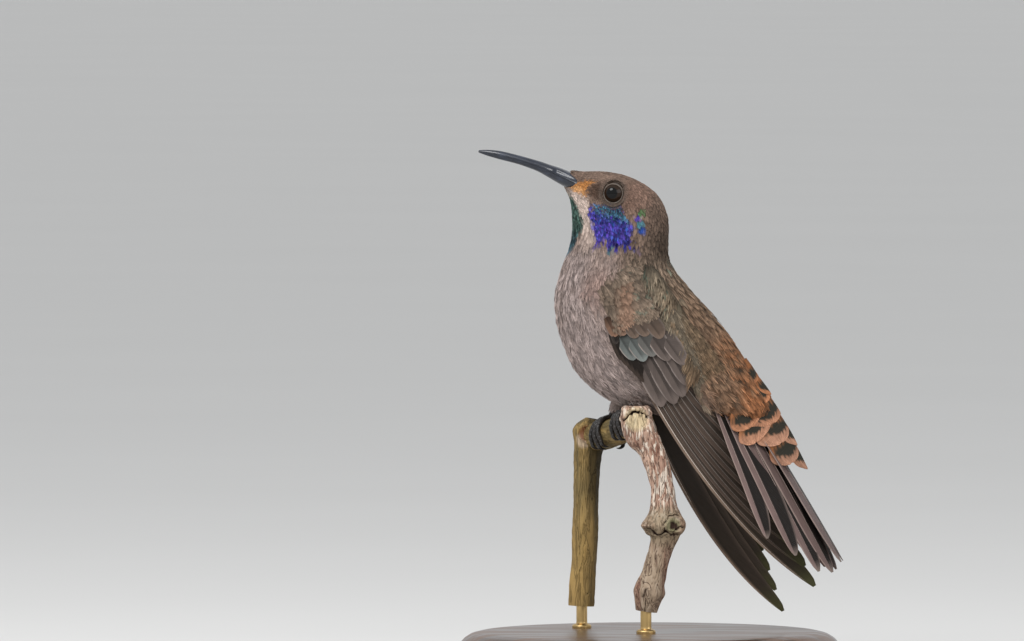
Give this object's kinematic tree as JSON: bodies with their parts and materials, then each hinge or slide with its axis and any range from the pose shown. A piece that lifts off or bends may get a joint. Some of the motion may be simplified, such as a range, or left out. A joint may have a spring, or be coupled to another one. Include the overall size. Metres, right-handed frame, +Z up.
{
  "type": "hummingbird model on a display stand",
  "caption": "Still life-size brown violetear hummingbird gripping a cut twig, held by two short rods on a round wooden base.",
  "frame": {"origin": "centre of the flat underside of the round base", "axes": "+Z up; the bird faces -X, its left side faces -Y, and its middle plane is y = 0"},
  "size_m": [0.08, 0.08, 0.1043],
  "materials": {
    "head_plumage": "dense small matt feathers, brown with a violet-blue ear patch, green throat and rufous lores",
    "body_plumage": "soft grey-brown contour feathers, darker on the back",
    "rump_plumage": "rufous-edged feathers with dark centres",
    "bill_horn": "smooth blue-black horn, semi-gloss",
    "eye": "wet glossy black",
    "tail_feather": "purplish-brown vanes with a satin sheen",
    "foot_horn": "black scaled skin and claws, satin",
    "flight_feather": "dark brown vanes with fine pale edges, satin",
    "wing_covert": "grey-brown coverts with a faint green sheen",
    "bark": "flaky pale twig bark, rough",
    "base_wood": "turned dark hardwood, satin varnish",
    "rod_brass": "drawn brass rod, lightly brushed"
  },
  "bodies": {
    "root": {"head": "head_plumage", "neck": "body_plumage", "trunk": "body_plumage", "rump": "rump_plumage", "bill_upper": "bill_horn", "bill_lower": "bill_horn", "eye_left": "eye", "eye_right": "eye", "tail_left": "tail_feather", "tail_right": "tail_feather", "foot_left": "foot_horn", "foot_right": "foot_horn", "wing_left_primaries": "flight_feather", "wing_right_primaries": "flight_feather", "wing_left_coverts": "wing_covert", "wing_right_coverts": "wing_covert", "perch_front_stem": "bark", "perch_cross_piece": "bark", "perch_rear_stem": "bark", "stand_base": "base_wood", "stand_rod_front": "rod_brass", "stand_rod_rear": "rod_brass"}
  },
  "joints": []
}
